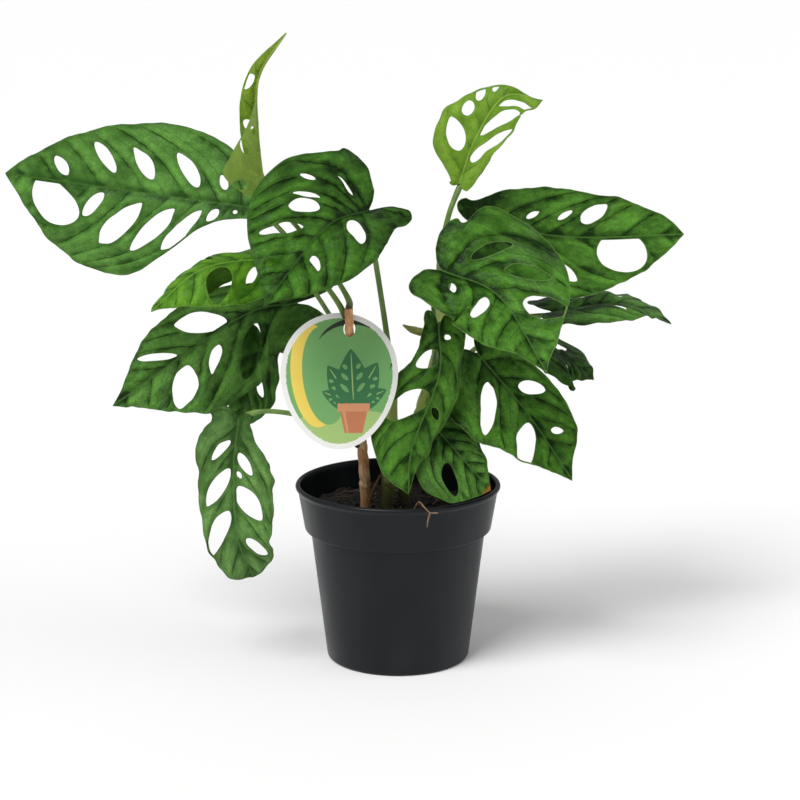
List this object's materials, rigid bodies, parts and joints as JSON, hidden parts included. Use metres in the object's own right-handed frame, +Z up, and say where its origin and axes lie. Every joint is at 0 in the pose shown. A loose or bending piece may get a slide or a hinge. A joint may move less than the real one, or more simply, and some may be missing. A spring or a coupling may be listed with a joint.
{
  "type": "potted monstera adansonii",
  "caption": "Young Swiss cheese vine with perforated leaves on upright stems, growing in a black plastic nursery pot with soil and a plain plant tag.",
  "frame": {"origin": "middle of the pot's flat foot", "axes": "+Z up, -Y towards the plant's front, +X to the plant's right as seen from the front"},
  "size_m": [0.3962, 0.1817, 0.3665],
  "materials": {
    "pot_plastic": "satin moulded",
    "soil": "crumbly peat with bark and root fibres",
    "stem_bark": "dry tan bark",
    "stem_green": "smooth green stem",
    "tag_card": "printed card",
    "leaf_green": "satin leaf",
    "leaf_deep": "satin dark leaf",
    "leaf_young": "soft pale leaf"
  },
  "bodies": {
    "root": {"pot": "pot_plastic", "soil": "soil", "stem_left": "stem_bark", "stem_middle": "stem_green", "stem_right": "stem_green", "bud": "stem_green", "tag": "tag_card", "leaf_left_long": "leaf_green", "leaf_left_furled": "leaf_young", "leaf_front_left": "leaf_deep", "leaf_left_folded": "leaf_green", "leaf_left_low": "leaf_deep", "leaf_left_behind": "leaf_green", "leaf_left_hanging": "leaf_young", "leaf_right_young": "leaf_young", "leaf_right_long": "leaf_green", "leaf_front_right": "leaf_green", "leaf_right_edge_on": "leaf_deep", "leaf_right_behind": "leaf_deep", "leaf_right_low": "leaf_green", "leaf_middle": "leaf_green", "leaf_on_rim": "leaf_deep"}
  },
  "joints": []
}
